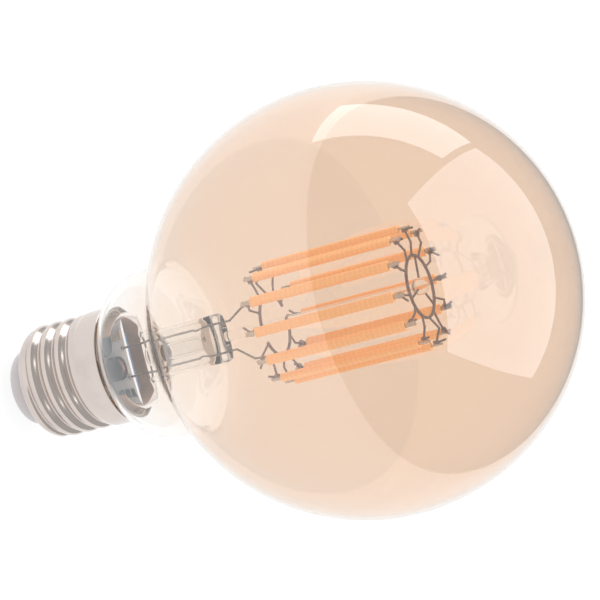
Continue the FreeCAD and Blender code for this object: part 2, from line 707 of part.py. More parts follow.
def write_mount():
    """Write the glass mount, the wire frames and the lead wires."""
    centre_rod = make_rod()
    upper_ring = make_upper_ring()
    live_ring = make_lower_ring(1)
    neutral_ring = make_lower_ring(-1)
    leads = [make_lead(1, live_ring), make_lead(-1, neutral_ring)]
    write("stem_glass", make_stem(leads))
    write("exhaust_tube", make_exhaust())
    write("centre_rod", centre_rod)
    write("ring_spokes", make_spokes(centre_rod, upper_ring))
    write("upper_ring", upper_ring)
    write("upper_arms", make_upper_arms(upper_ring))
    write("lower_ring_live", live_ring)
    write("lower_arms_live", make_lower_arms(1, live_ring))
    write("lower_ring_neutral", neutral_ring)
    write("lower_arms_neutral", make_lower_arms(-1, neutral_ring))
    write("lead_wire_live", leads[0])
    write("lead_wire_neutral", leads[1])
    return leads


def write_cap(leads):
    """Write the screw cap with its contact, wires, solder and cement."""
    shell = make_screw_shell()
    live = make_live_wire()
    neutral = make_neutral_wire()
    write("screw_shell", shell)
    write("cap_insulator", make_insulator())
    write("centre_contact", make_contact())
    write("cap_cement", make_cement())
    write("live_wire", live)
    write("neutral_wire", neutral)
    write("driver_board", make_board())
    write("board_solder", make_solder(leads, live, neutral))
    write("shell_solder", make_shell_solder(shell, neutral))


def write_driver():
    """Write the sleeve and the components on the driver board."""
    write("driver_sleeve", make_sleeve())
    write("smoothing_capacitor", make_capacitor())
    write("inductor_core", make_inductor_core())
    write("inductor_winding", make_winding())
    write("driver_chip", make_chip())
    write("bridge_rectifier", make_rectifier())
    write("fusible_resistor", make_fuse_resistor())
    write("wireless_module", make_module())
    write("wireless_shield", make_shield())
    write("wireless_antenna", make_antenna())
    write("small_resistors", make_small_resistors())
    write("small_capacitors", make_small_capacitors())


def main():
    """Build every piece and write it out."""
    os.makedirs("parts", exist_ok=True)
    strip = make_strip()
    write("glass_globe", make_globe())
    write_filaments(strip, make_coat(strip))
    write_cap(write_mount())
    write_driver()


main()
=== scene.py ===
import logging
import math
from dataclasses import dataclass, field
from enum import Enum
from typing import Callable, Iterable, Sequence

import bpy
from mathutils import Matrix, Vector


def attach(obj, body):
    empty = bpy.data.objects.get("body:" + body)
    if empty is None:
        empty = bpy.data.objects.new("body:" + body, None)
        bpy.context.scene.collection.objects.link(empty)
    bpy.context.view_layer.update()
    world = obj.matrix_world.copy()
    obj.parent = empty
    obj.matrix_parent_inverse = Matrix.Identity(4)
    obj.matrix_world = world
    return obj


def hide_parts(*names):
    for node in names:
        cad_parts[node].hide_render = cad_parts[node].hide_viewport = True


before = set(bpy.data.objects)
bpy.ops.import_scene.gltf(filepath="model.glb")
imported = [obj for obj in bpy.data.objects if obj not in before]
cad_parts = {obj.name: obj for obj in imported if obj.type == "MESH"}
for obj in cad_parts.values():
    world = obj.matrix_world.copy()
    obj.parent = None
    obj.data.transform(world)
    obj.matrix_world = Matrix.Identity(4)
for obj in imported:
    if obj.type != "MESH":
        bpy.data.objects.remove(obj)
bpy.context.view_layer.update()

LOG = logging.getLogger("bulb")
MM = 0.001
WHITE = (1.0, 1.0, 1.0)
# Sockets of a Mix node that mixes colours, by number, because its socket names repeat.
MIX_FACTOR, MIX_FIRST, MIX_SECOND = 0, 6, 7
MIX_RESULT = 2
Number = float
Colour = tuple[float, float, float]
Point = tuple[float, float, float]
Ring = Callable[[float], Point]


class Slot(Enum):
    """The record's material slots, each with one finish."""

    TINTED_GLASS = "tinted_glass"
    CLEAR_GLASS = "clear_glass"
    FRAME_WIRE = "frame_wire"
    LEAD_METAL = "lead_metal"
    PLATED_SHELL = "plated_shell"
    WHITE_INSULATOR = "white_insulator"
    CONTACT_METAL = "contact_metal"
    CEMENT = "cement"
    STRIP_METAL = "strip_metal"
    PHOSPHOR_SILICONE = "phosphor_silicone"
    RED_INSULATION = "red_insulation"
    BLACK_INSULATION = "black_insulation"
    WHITE_BOARD = "white_board"
    BLUE_BOARD = "blue_board"
    SOLDER = "solder"
    BROWN_FILM = "brown_film"
    BLACK_PLASTIC = "black_plastic"
    FERRITE = "ferrite"
    COPPER = "copper"
    RESISTOR_BODY = "resistor_body"
    SHIELD_METAL = "shield_metal"
    TAN_CERAMIC = "tan_ceramic"


# ---------------------------------------------------------------- node graphs


class Value:
    """A number carried by a node socket, with ordinary arithmetic."""

    def __init__(self, graph: "Graph", socket: bpy.types.NodeSocket) -> None:
        """Wrap a socket of a graph."""
        self.graph = graph
        self.socket = socket

    def _math(self, operation: str, *terms: "Value | Number") -> "Value":
        """Add one Math node.

        Args:
            operation: the Math node's operation name.
            terms: its inputs in order, sockets or plain numbers.

        Returns:
            The node's result.
        """
        settings = {"operation": operation}
        inputs = {index: term for index, term in enumerate(terms)}
        return self.graph.value("ShaderNodeMath", settings, inputs)

    def __add__(self, other: "Value | Number") -> "Value":
        """Value plus another."""
        return self._math("ADD", self, other)

    def __radd__(self, other: Number) -> "Value":
        """A number plus the value."""
        return self._math("ADD", other, self)

    def __sub__(self, other: "Value | Number") -> "Value":
        """Value less another."""
        return self._math("SUBTRACT", self, other)

    def __rsub__(self, other: Number) -> "Value":
        """A number less the value."""
        return self._math("SUBTRACT", other, self)

    def __mul__(self, other: "Value | Number") -> "Value":
        """Value times another."""
        return self._math("MULTIPLY", self, other)

    def __rmul__(self, other: Number) -> "Value":
        """A number times the value."""
        return self._math("MULTIPLY", other, self)

    def sine(self) -> "Value":
        """Sine of the value in radians."""
        return self._math("SINE", self)

    def step(self, low: Number, high: Number) -> "Value":
        """A smooth step.

        Args:
            low: where the step begins, result 0.
            high: where it ends, result 1.

        Returns:
            The eased value, clamped to 0..1.
        """
        settings = {"interpolation_type": "SMOOTHSTEP", "clamp": True}
        inputs = {"Value": self, "From Min": low, "From Max": high}
        return self.graph.value("ShaderNodeMapRange", settings, inputs)


class Graph:
    """One node tree and the few ways this script adds nodes to it."""

    def __init__(self, tree: bpy.types.NodeTree) -> None:
        """Take over a node tree and empty it."""
        self.tree = tree
        tree.nodes.clear()

    def node(
        self, kind: str, settings: dict | None = None, inputs: dict | None = None
    ) -> bpy.types.Node:
        """Add any node.

        Args:
            kind: the node's type name.
            settings: attribute names and values set on the node.
            inputs: socket names or numbers and what goes in: a plain value,
                a Value, or a node socket.

        Returns:
            The new node.
        """
        made = self.tree.nodes.new(kind)
        for name, setting in (settings or {}).items():
            setattr(made, name, setting)
        for key, given in (inputs or {}).items():
            source = given.socket if isinstance(given, Value) else given
            if isinstance(source, bpy.types.NodeSocket):
                self.tree.links.new(source, made.inputs[key])
            elif isinstance(source, tuple) and made.inputs[key].type == "RGBA":
                made.inputs[key].default_value = (*source[:3], 1.0)
            else:
                made.inputs[key].default_value = source
        return made

    def value(
        self, kind: str, settings: dict | None = None, inputs: dict | None = None, output: str | int = 0
    ) -> Value:
        """Add a node and wrap one of its outputs."""
        return Value(self, self.node(kind, settings, inputs).outputs[output])

    def position(self) -> bpy.types.NodeSocket:
        """The place on the object, in metres, that patterns are laid out in."""
        return self.node("ShaderNodeTexCoord").outputs["Object"]

    def split(self, vector: bpy.types.NodeSocket) -> tuple[Value, Value, Value]:
        """The three parts of a vector."""
        parts = self.node("ShaderNodeSeparateXYZ", inputs={0: vector})
        return tuple(Value(self, socket) for socket in parts.outputs)

    def noise(self, vector: bpy.types.NodeSocket, scale: float, detail: float = 3.0) -> Value:
        """Fractal noise, 0..1."""
        inputs = {"Vector": vector, "Scale": scale, "Detail": detail}
        return self.value("ShaderNodeTexNoise", inputs=inputs)

    def mix(self, factor: Value | Number, first: object, second: object) -> bpy.types.NodeSocket:
        """Lay one colour over another.

        Args:
            factor: how much of the second colour.
            first: the colour below, plain or a socket.
            second: the colour on top.

        Returns:
            The mixed colour's socket.
        """
        settings = {"data_type": "RGBA", "blend_type": "MIX"}
        inputs = {MIX_FACTOR: factor, MIX_FIRST: first, MIX_SECOND: second}
        return self.node("ShaderNodeMix", settings, inputs).outputs[MIX_RESULT]

    def bump(self, height: Value, strength: float, distance: float) -> bpy.types.NodeSocket:
        """A normal bent by a height pattern."""
        inputs = {"Height": height, "Strength": strength, "Distance": distance}
        return self.node("ShaderNodeBump", inputs=inputs).outputs["Normal"]


# ---------------------------------------------------------------- finishes


@dataclass(frozen=True)
class Finish:
    """A procedural material on one Principled shader.

    Attributes:
        name: the material's name.
        colour: its base colour.
        roughness: mean roughness.
        spread: how far roughness wanders either side of the mean.
        mottle: how much the base colour darkens in patches.
        grain: size of the pattern, cycles per metre.
        relief: depth of the surface pattern in metres.
        patch_shade: colour of a patch, as a share of the base colour.
        patch_edges: pattern values at which a patch begins and is full.
        patch_gain: how much stronger than mottle a full patch is.
        relief_grain: how much finer the surface pattern is than the patches.
        relief_detail: how many layers the surface pattern has.
        relief_strength: strength of the surface pattern.
    """

    name: str
    colour: Colour
    roughness: float = 0.4
    spread: float = 0.05
    mottle: float = 0.1
    grain: float = 400.0
    relief: float = 0.0
    patch_shade: float = 0.55
    patch_edges: tuple[float, float] = (0.45, 0.8)
    patch_gain: float = 2.0
    relief_grain: float = 4.0
    relief_detail: float = 5.0
    relief_strength: float = 0.6

    def plain(self) -> dict[str, object]:
        """Uniform values set straight on the shader."""
        return {}

    def tone(self, graph: Graph, pattern: Value) -> bpy.types.NodeSocket:
        """The base colour as it varies over the surface."""
        patches = pattern.step(*self.patch_edges) * self.mottle * self.patch_gain
        return graph.mix(patches, self.colour, self.shaded())

    def shaded(self) -> Colour:
        """The base colour as it is in a full patch."""
        return tuple(self.patch_shade * part for part in self.colour)

    def material(self) -> bpy.types.Material:
        """Build the material.

        Returns:
            The new material, ready to assign.
        """
        made = bpy.data.materials.new(self.name)
        made.use_nodes = True
        graph = Graph(made.node_tree)
        where = graph.position()
        pattern = graph.noise(where, self.grain)
        shader = graph.node("ShaderNodeBsdfPrincipled", inputs=self.plain())
        graph.tree.links.new(self.tone(graph, pattern), shader.inputs["Base Color"])
        rough = pattern * (2 * self.spread) + (self.roughness - self.spread)
        graph.tree.links.new(rough.socket, shader.inputs["Roughness"])
        if self.relief:
            fine = graph.noise(where, self.grain * self.relief_grain, self.relief_detail)
            bent = graph.bump(fine, self.relief_strength, self.relief)
            graph.tree.links.new(bent, shader.inputs["Normal"])
        graph.node("ShaderNodeOutputMaterial", inputs={"Surface": shader.outputs[0]})
        made.diffuse_color = (*self.colour, 1.0)
        return made


@dataclass(frozen=True)
class Metal(Finish):
    """Bare or plated metal."""

    def plain(self) -> dict[str, object]:
        """Fully metallic."""
        return {"Metallic": 1.0}


@dataclass(frozen=True)
class Lacquer(Finish):
    """Plastic, film or lacquer with an optional clear coat.

    Attributes:
        coat: how much clear coat there is.
        coat_roughness: roughness of the coat.
        specular: gloss of the base under it.
    """

    coat: float = 0.0
    coat_roughness: float = 0.08
    specular: float = 0.5

    def plain(self) -> dict[str, object]:
        """Set the clear coat and the gloss of the base.

        Returns:
            Socket names and their values.
        """
        return {
            "Coat Weight": self.coat,
            "Coat Roughness": self.coat_roughness,
            "Specular IOR Level": self.specular,
        }


@dataclass(frozen=True)
class Phosphor(Finish):
    """Silicone phosphor coat with the chips faintly showing in a row under it.

    Attributes:
        chip_pitch: distance from one chip to the next.
        chip_contrast: how clearly a chip shows.
        chip_gain: how much brighter the coat is over a chip.
        chip_lift: brightness added over a chip.
        scatter: share of the light that is scattered inside the coat.
        scatter_reach: how far red, green and blue travel in it, in metres.
        painted_glow: strength of the coat's painted glow, light that it gives off though it is no lamp.
    """

    patch_shade: float = 0.7
    patch_edges: tuple[float, float] = (0.5, 0.9)
    chip_pitch: float = 1.2 * MM
    chip_contrast: float = 0.5
    chip_gain: float = 1.12
    chip_lift: float = 0.02
    scatter: float = 0.25
    scatter_reach: Colour = (0.0012, 0.0006, 0.0003)
    painted_glow: float = 0.0

    def plain(self) -> dict[str, object]:
        """Scatter light inside the coat and give it a faint painted glow, light that it gives off though it
        is no lamp.

        Returns:
            Socket names and their values.
        """
        return {
            "Subsurface Weight": self.scatter,
            "Subsurface Radius": self.scatter_reach,
            "Subsurface Scale": 1.0,
            # painted glow: the coat gives off faint light in its own colour, though it is no lamp
            "Emission Color": self.colour,
            "Emission Strength": self.painted_glow,
        }

    def tone(self, graph: Graph, pattern: Value) -> bpy.types.NodeSocket:
        """The coat's colour, a little lighter over each chip.

        Args:
            graph: the material's node graph.
            pattern: the noise that patches follow.

        Returns:
            The base colour's socket.
        """
        _, _, height = graph.split(graph.position())
        chips = (height * (2 * math.pi / self.chip_pitch)).sine() * 0.5 + 0.5
        lighter = tuple(min(1.0, self.chip_gain * part + self.chip_lift) for part in self.colour)
        base = graph.mix(chips * self.chip_contrast, self.colour, lighter)
        return graph.mix(pattern.step(*self.patch_edges) * self.mottle, base, self.shaded())


@dataclass(frozen=True)
class Glass(Finish):
    """Clear or tinted glass as a real wall with two faces.

    Attributes:
        index: refractive index of the wall.
        mirror: tint of the reflection.
        clear: colour the tint fades to towards the neck.
        fade: heights between which the tint comes in, or None for even glass.
        haze: how much an even glass varies in colour.
    """

    patch_shade: float = 0.9
    index: float = 1.5
    mirror: Colour = WHITE
    clear: Colour = WHITE
    fade: tuple[float, float] | None = None
    haze: float = 0.04

    def plain(self) -> dict[str, object]:
        """Make the wall clear, with its index and reflection.

        Returns:
            Socket names and their values.
        """
        return {
            "Transmission Weight": 1.0,
            "IOR": self.index,
            "Specular Tint": self.mirror,
        }

    def tone(self, graph: Graph, pattern: Value) -> bpy.types.NodeSocket:
        """Even glass, or a tint that comes in with height.

        Args:
            graph: the material's node graph.
            pattern: the noise that even glass follows.

        Returns:
            The base colour's socket.
        """
        if self.fade is None:
            return graph.mix(pattern * self.haze, self.colour, self.shaded())
        _, _, height = graph.split(graph.position())
        return graph.mix(height.step(*self.fade), self.clear, self.colour)


class Palette:
    """Every finish by record slot, each material made once."""

    def __init__(self, finishes: dict[Slot, Finish]) -> None:
        """Keep the finishes, with no material made yet."""
        self.finishes = finishes
        self.made: dict[Slot, bpy.types.Material] = {}

    def material(self, slot: Slot) -> bpy.types.Material:
        """The material that stands for a record slot.

        Args:
            slot: the slot.

        Returns:
            Its material, made the first time that it is asked for.
        """
        if slot not in self.made:
            self.made[slot] = self.finishes[slot].material()
        return self.made[slot]

    def paint(self, piece: bpy.types.Object, slot: Slot) -> None:
        """Give a piece the one material of a slot, and let light pass if it is glass.

        Args:
            piece: what is painted.
            slot: the slot whose finish it gets.
        """
        piece.data.materials.clear()
        piece.data.materials.append(self.material(slot))
        if isinstance(self.finishes[slot], Glass):
            piece.visible_shadow = False
            piece.visible_diffuse = False


def bulb_palette() -> Palette:
    """Choose the finishes of this bulb.

    Returns:
        A palette with one finish for each record slot.
    """
    return Palette(
        {
            Slot.TINTED_GLASS: Glass(
                "amber glass", (0.90, 0.765, 0.655), 0.0, 0.0, index=1.85,
                mirror=(0.86, 0.93, 1.0), clear=(0.985, 0.975, 0.965), fade=(0.033, 0.05),
            ),
            Slot.CLEAR_GLASS: Glass("clear glass", (0.985, 0.985, 0.98), 0.0, 0.0, index=1.3),
            Slot.FRAME_WIRE: Metal("nickel wire", (0.36, 0.32, 0.33), 0.32, 0.08, 0.3, 900.0),
            Slot.LEAD_METAL: Metal("lead wire", (0.34, 0.31, 0.29), 0.3, 0.08, 0.2, 900.0),
            Slot.PLATED_SHELL: Metal(
                "nickel plating", (0.64, 0.57, 0.53), 0.17, 0.06, 0.1, 180.0, 0.00001
            ),
            Slot.WHITE_INSULATOR: Lacquer(
                "white insulator", (0.54, 0.50, 0.51), 0.35, 0.05, 0.06, coat=0.25
            ),
            Slot.CONTACT_METAL: Metal("tinned contact", (0.76, 0.75, 0.73), 0.3, 0.1, 0.15, 500.0, 0.00002),
            Slot.CEMENT: Lacquer("cap cement", (0.56, 0.42, 0.29), 0.85, 0.08, 0.3, 600.0, 0.00015),
            Slot.STRIP_METAL: Metal("strip metal", (0.6, 0.57, 0.53), 0.28, 0.06, 0.1, 900.0),
            # the phosphor coat has a faint painted glow: it gives off light though it is no lamp
            Slot.PHOSPHOR_SILICONE: Phosphor(
                "phosphor silicone", (0.88, 0.47, 0.20), 0.4, 0.06, 0.12, 500.0, painted_glow=0.06
            ),
            Slot.RED_INSULATION: Lacquer("red insulation", (0.55, 0.05, 0.04), 0.45),
            Slot.BLACK_INSULATION: Lacquer("black insulation", (0.03, 0.03, 0.03), 0.45),
            Slot.WHITE_BOARD: Lacquer("white board", (0.74, 0.72, 0.71), 0.35, 0.06, 0.25, 350.0, coat=0.3),
            Slot.BLUE_BOARD: Lacquer("blue board", (0.03, 0.09, 0.22), 0.35, coat=0.3),
            Slot.SOLDER: Metal("solder", (0.72, 0.72, 0.73), 0.25, 0.1, 0.15, 800.0),
            Slot.BROWN_FILM: Lacquer("brown film", (0.31, 0.18, 0.10), 0.45, 0.08, 0.3, 120.0, specular=0.3),
            Slot.BLACK_PLASTIC: Lacquer("black plastic", (0.028, 0.028, 0.03), 0.4, 0.08),
            Slot.FERRITE: Lacquer("ferrite", (0.05, 0.05, 0.055), 0.5, 0.1, 0.2, 900.0),
            Slot.COPPER: Metal("copper", (0.72, 0.32, 0.16), 0.3, 0.08),
            Slot.RESISTOR_BODY: Lacquer("resistor body", (0.16, 0.3, 0.24), 0.35, coat=0.3),
            Slot.SHIELD_METAL: Metal("tinned shield", (0.72, 0.72, 0.71), 0.28, 0.08, 0.1, 300.0),
            Slot.TAN_CERAMIC: Lacquer("tan ceramic", (0.45, 0.33, 0.2), 0.45),
        }
    )


# ---------------------------------------------------------------- meshes


def mesh_piece(name: str, points: Sequence[Point], faces: Sequence[Sequence[int]]) -> bpy.types.Object:
    """Make a smooth-shaded mesh object.

    Args:
        name: the piece's name.
        points: vertices in metres.
        faces: vertex numbers of each face.

    Returns:
        The object, linked to the scene.
    """
    mesh = bpy.data.meshes.new(name)
    mesh.from_pydata(points, [], faces)
    mesh.validate()
    mesh.polygons.foreach_set("use_smooth", [True] * len(mesh.polygons))
    mesh.update()
    piece = bpy.data.objects.new(name, mesh)
    bpy.context.scene.collection.objects.link(piece)
    return piece


def arc(
    centre: tuple[float, float], radius: float, start: float, end: float, steps: int
) -> list[tuple[float, float]]:
    """Lay out points on an arc in the (radius, height) plane.

    Args:
        centre: the arc's centre.
        radius: its radius.
        start: angle of its first point in degrees.
        end: angle of its last point in degrees.
        steps: how many equal steps it is cut into.

    Returns:
        The points, both ends included.
    """
    spots = []
    for index in range(steps + 1):
        turn = math.radians(start + (end - start) * index / steps)
        spots.append((centre[0] + radius * math.cos(turn), centre[1] + radius * math.sin(turn)))
    return spots


def clamp(share: float) -> float:
    """A share held between 0 and 1."""
    return max(0.0, min(1.0, share))


def ease(share: float) -> float:
    """A share from 0 to 1 that starts and ends gently."""
    return share * share * (3 - 2 * share)


@dataclass
class Rings:
    """A skin woven through closed rings of points, such as a lathe or a loft.

    Attributes:
        columns: points in each ring.
        points: all points so far, ring after ring.
        faces: all faces so far, by point number.
        count: rings so far.
        starts: numbers of the rings that aren't joined to the one before.
        tips: ring number, height and direction of each tip on the axis.
    """

    columns: int = 192
    points: list[Point] = field(default_factory=list)
    faces: list[tuple[int, ...]] = field(default_factory=list)
    count: int = 0
    starts: list[int] = field(default_factory=list)
    tips: list[tuple[int, float, bool]] = field(default_factory=list)

    def add(self, ring: Ring) -> None:
        """Add one ring and join it to the one before.

        Args:
            ring: the ring as a function of the angle in radians.
        """
        for column in range(self.columns):
            self.points.append(ring(2 * math.pi * column / self.columns))
        if self.count and self.count not in self.starts:
            self.weave(self.count - 1, self.count)
        self.count += 1

    def weave(self, below: int, above: int) -> None:
        """Join two rings with a band of faces.

        Args:
            below: number of the first ring.
            above: number of the second ring.
        """
        low, high = below * self.columns, above * self.columns
        for column in range(self.columns):
            after = (column + 1) % self.columns
            self.faces.append((low + column, low + after, high + after, high + column))

    def turn_in(self, outer_tip: float, inner_tip: float) -> None:
        """Close the skin on the axis and start its inner face there.

        Args:
            outer_tip: height where the outer face meets the axis.
            inner_tip: height where the inner face meets it.
        """
        self.tips.append((self.count - 1, outer_tip, True))
        self.tips.append((self.count, inner_tip, False))
        self.starts.append(self.count)

    def add_circle(self, radius: float, height: float) -> None:
        """Add a plain circle about the bulb axis."""
        self.add(lambda turn: (radius * math.cos(turn), radius * math.sin(turn), height))

    def join_ends(self) -> None:
        """Close the skin by joining the last ring to the first."""
        self.weave(self.count - 1, 0)

    def piece(self, name: str) -> bpy.types.Object:
        """Close the tips and make the skin.

        Args:
            name: the piece's name.

        Returns:
            The finished skin as an object.
        """
        for ring, height, rising in self.tips:
            tip = len(self.points)
            self.points.append((0.0, 0.0, height))
            for column in range(self.columns):
                near = ring * self.columns + column
                far = ring * self.columns + (column + 1) % self.columns
                self.faces.append((near, far, tip) if rising else (far, near, tip))
        return mesh_piece(name, self.points, self.faces)


# ---------------------------------------------------------------- sub-assemblies


@dataclass
class SubAssembly:
    """A group of pieces that is dressed together.

    Attributes:
        palette: the finishes.
        pieces: what has been made or painted so far.
    """

    palette: Palette
    pieces: list[bpy.types.Object] = field(default_factory=list)

    def dress(self, nodes: Iterable[str], slot: Slot) -> None:
        """Paint CAD nodes, which keep their own shapes.

        Args:
            nodes: names of the nodes.
            slot: the slot whose finish they get.
        """
        for name in nodes:
            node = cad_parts[name]
            self.palette.paint(node, slot)
            self.pieces.append(node)

    def stand_in(self, piece: bpy.types.Object, node: str, slot: Slot) -> None:
        """Let a made piece take the place of a CAD node."""
        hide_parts(node)
        self.adopt(piece, slot)

    def adopt(self, piece: bpy.types.Object, slot: Slot) -> None:
        """Paint a made piece and fix it to the bulb.

        Args:
            piece: the piece.
            slot: the slot whose finish it gets.
        """
        self.palette.paint(piece, slot)
        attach(piece, "root")
        self.pieces.append(piece)

    def build(self) -> None:
        """Make and dress the pieces."""
        raise NotImplementedError

    def report(self) -> None:
        """Log the pieces of the group."""
        LOG.info("%s: %s", type(self).__name__, ", ".join(piece.name for piece in self.pieces))


@dataclass
class Envelope(SubAssembly):
    """The blown globe with its neck, as one wall of even thickness.

    Attributes:
        globe_radius: outer radius of the globe.
        wall: thickness of the glass.
        neck_radius: outer radius of the straight neck.
        neck_top: height where the straight neck ends.
        fillet: radius of the hollow between neck and globe.
        lip_radius: outer radius of the lip inside the cap.
        lip_bottom: height of the lip's lower end.
        cap_top: height of the cap's rim.
        root: radius of the bend from lip to shoulder.
        shoulder_angle: how far that bend turns, in degrees.
        crown_angle: angle where the globe's arc ends, just short of the axis.
        root_steps: steps round the root.
        shoulder_steps: steps round the shoulder.
        fillet_steps: steps round the fillet.
        globe_steps: steps round the globe.
    """

    globe_radius: float = 47.5 * MM
    wall: float = 0.8 * MM
    neck_radius: float = 19.1 * MM
    neck_top: float = 41.5 * MM
    fillet: float = 4.0 * MM
    lip_radius: float = 12.3 * MM
    lip_bottom: float = 22.4 * MM
    cap_top: float = 27.0 * MM
    root: float = 1.2 * MM
    shoulder_angle: float = 65.0
    crown_angle: float = 89.2
    root_steps: int = 8
    shoulder_steps: int = 20
    fillet_steps: int = 12
    globe_steps: int = 110

    def rise(self) -> float:
        """Height of the globe's centre above the top of the neck."""
        return math.sqrt((self.globe_radius + self.fillet) ** 2 - (self.neck_radius + self.fillet) ** 2)

    def crown(self, inset: float) -> float:
        """Height of the top of the globe, moved in by inset."""
        return self.neck_top + self.rise() + self.globe_radius - inset

    def outline(self, inset: float) -> list[tuple[float, float]]:
        """Lay out the profile from lip to crown.

        Args:
            inset: how far the profile is moved in.

        Returns:
            Its points as radius and height.
        """
        angle = math.radians(self.shoulder_angle)
        rise = self.rise()
        tilt = math.degrees(math.atan2(rise, self.neck_radius + self.fillet))
        root = (self.lip_radius + self.root, self.cap_top - self.root / 2)
        meet = (root[0] - self.root * math.cos(angle), root[1] + self.root * math.sin(angle))
        bend = (self.neck_radius - meet[0]) / (1 - math.cos(angle))
        middle = (meet[0] - bend * math.cos(angle), meet[1] + bend * math.sin(angle))
        spots = [(self.lip_radius - inset, self.lip_bottom)]
        spots += arc(root, self.root + inset, 180, 180 - self.shoulder_angle, self.root_steps)
        spots += arc(middle, bend - inset, -self.shoulder_angle, 0, self.shoulder_steps)[1:]
        fillet = (self.neck_radius + self.fillet, self.neck_top)
        spots += arc(fillet, self.fillet + inset, 180, 180 - tilt, self.fillet_steps)
        globe = (0.0, self.neck_top + rise)
        spots += arc(globe, self.globe_radius - inset, -tilt, self.crown_angle, self.globe_steps)[1:]
        return spots

    def build(self) -> None:
        """Blow the globe and tint it."""
        skin = Rings()
        for radius, height in self.outline(0.0):
            skin.add_circle(radius, height)
        skin.turn_in(self.crown(0.0), self.crown(self.wall))
        for radius, height in reversed(self.outline(self.wall)):
            skin.add_circle(radius, height)
        skin.join_ends()
        self.stand_in(skin.piece("globe_skin"), "glass_globe", Slot.TINTED_GLASS)


@dataclass
class GlassMount(SubAssembly):
    """The clear bell, tube and press, with the rod and the pumping tube.

    Attributes:
        seal_radius: outer radius of the ring sealed to the neck.
        seal_bottom: height of its lower end.
        seal_top: height of its upper end.
        seal_step: height over which the seal draws in to the bell.
        bell_radius: outer radius of the bell.
        bell_shoulder: height where the bell starts to draw in.
        bell_top: height where its shoulder ends.
        tube_radius: outer radius of the tube.
        blend: radius of the hollow between shoulder and tube.
        wall: thickness of the glass.
        press_bottom: height where the hollow of the tube ends.
        press_top: height of the flat press's upper end.
        press_half: half the press's thickness.
        press_edge: share of the full outline, and distance below the top, of
            each ring that rounds the press's end.
        pinch_rise: share of the press over which the tube is squeezed flat.
        pinch_square: how square the flat press is.
        inner_bend: radius of the bend inside the tube's end, in wall thicknesses.
        columns: points in each ring.
        shoulder_steps: steps round the shoulder.
        blend_steps: steps round the blend and the inner bend.
        pinch_steps: steps from tube to press.
    """

    seal_radius: float = 11.5 * MM
    seal_bottom: float = 22.4 * MM
    seal_top: float = 24.9 * MM
    seal_step: float = 0.3 * MM
    bell_radius: float = 11.2 * MM
    bell_shoulder: float = 29.0 * MM
    bell_top: float = 34.0 * MM
    tube_radius: float = 5.5 * MM
    blend: float = 1.2 * MM
    wall: float = 0.8 * MM
    press_bottom: float = 48.38 * MM
    press_top: float = 52.88 * MM
    press_half: float = 2.0 * MM
    press_edge: tuple[tuple[float, float], ...] = ((1.0, 0.5 * MM), (0.94, 0.1 * MM), (0.8, 0.0))
    pinch_rise: float = 0.55
    pinch_square: float = 0.45
    inner_bend: float = 1.3
    columns: int = 128
    shoulder_steps: int = 10
    blend_steps: int = 6
    pinch_steps: int = 8

    def shoulder(self, inset: float) -> list[tuple[float, float]]:
        """Lay out the rounded step from bell to tube.

        Args:
            inset: how far the profile is moved in.

        Returns:
            Its points as radius and height, from the bell up.
        """
        spots = []
        wide = self.bell_radius - inset
        narrow = self.tube_radius - inset
        top = self.bell_top - inset
        for index in range(self.shoulder_steps + 1):
            turn = math.pi / 2 * index / self.shoulder_steps
            radius = narrow + self.blend + (wide - narrow - self.blend) * math.cos(turn)
            spots.append((radius, self.bell_shoulder + (top - self.bell_shoulder) * math.sin(turn)))
        hollow = (narrow + self.blend, top + self.blend)
        return spots + arc(hollow, self.blend, 270, 180, self.blend_steps)[1:]

    def pinch(self, share: float) -> Ring:
        """Squeeze the round tube part of the way to the flat press.

        Args:
            share: how far it is squeezed, 0 round and 1 flat.

        Returns:
            The squeezed ring.
        """
        eased = ease(share)
        press = self.press_top - self.press_bottom
        height = self.press_bottom - self.wall + press * self.pinch_rise * share
        half = self.tube_radius + (self.press_half - self.tube_radius) * eased
        power = 1.0 - self.pinch_square * eased

        def ring(turn: float) -> Point:
            """The point at one angle."""
            side = math.copysign(abs(math.sin(turn)) ** power, math.sin(turn))
            return (self.tube_radius * math.cos(turn), half * side, height)

        return ring

    def edge(self, share: float, height: float) -> Ring:
        """Draw the flat outline in towards the press's end.

        Args:
            share: share of the full outline that is left.
            height: the ring's height.

        Returns:
            The smaller ring.
        """
        flat = self.pinch(1.0)

        def ring(turn: float) -> Point:
            """The point at one angle."""
            across, deep, _ = flat(turn)
            return (across * share, deep * share, height)

        return ring

    def build(self) -> None:
        """Make the stem's skin and dress what it holds."""
        skin = Rings(columns=self.columns)
        skin.add_circle(self.seal_radius, self.seal_bottom)
        skin.add_circle(self.seal_radius, self.seal_top)
        skin.add_circle(self.bell_radius, self.seal_top + self.seal_step)
        for radius, height in self.shoulder(0.0):
            skin.add_circle(radius, height)
        for index in range(self.pinch_steps + 1):
            skin.add(self.pinch(index / self.pinch_steps))
        for share, drop in self.press_edge:
            skin.add(self.edge(share, self.press_top - drop))
        skin.turn_in(self.press_top, self.press_bottom)
        bend = self.inner_bend * self.wall
        middle = (self.tube_radius - self.wall - bend, self.press_bottom - bend)
        inner = arc(middle, bend, 90, 0, self.blend_steps)
        for radius, height in inner + list(reversed(self.shoulder(self.wall))):
            skin.add_circle(radius, height)
        skin.add_circle(self.bell_radius - self.wall, self.seal_bottom)
        skin.join_ends()
        self.stand_in(skin.piece("stem_skin"), "stem_glass", Slot.CLEAR_GLASS)
        self.dress(["exhaust_tube", "centre_rod"], Slot.CLEAR_GLASS)
        self.dress(["lead_wire_live", "lead_wire_neutral"], Slot.LEAD_METAL)


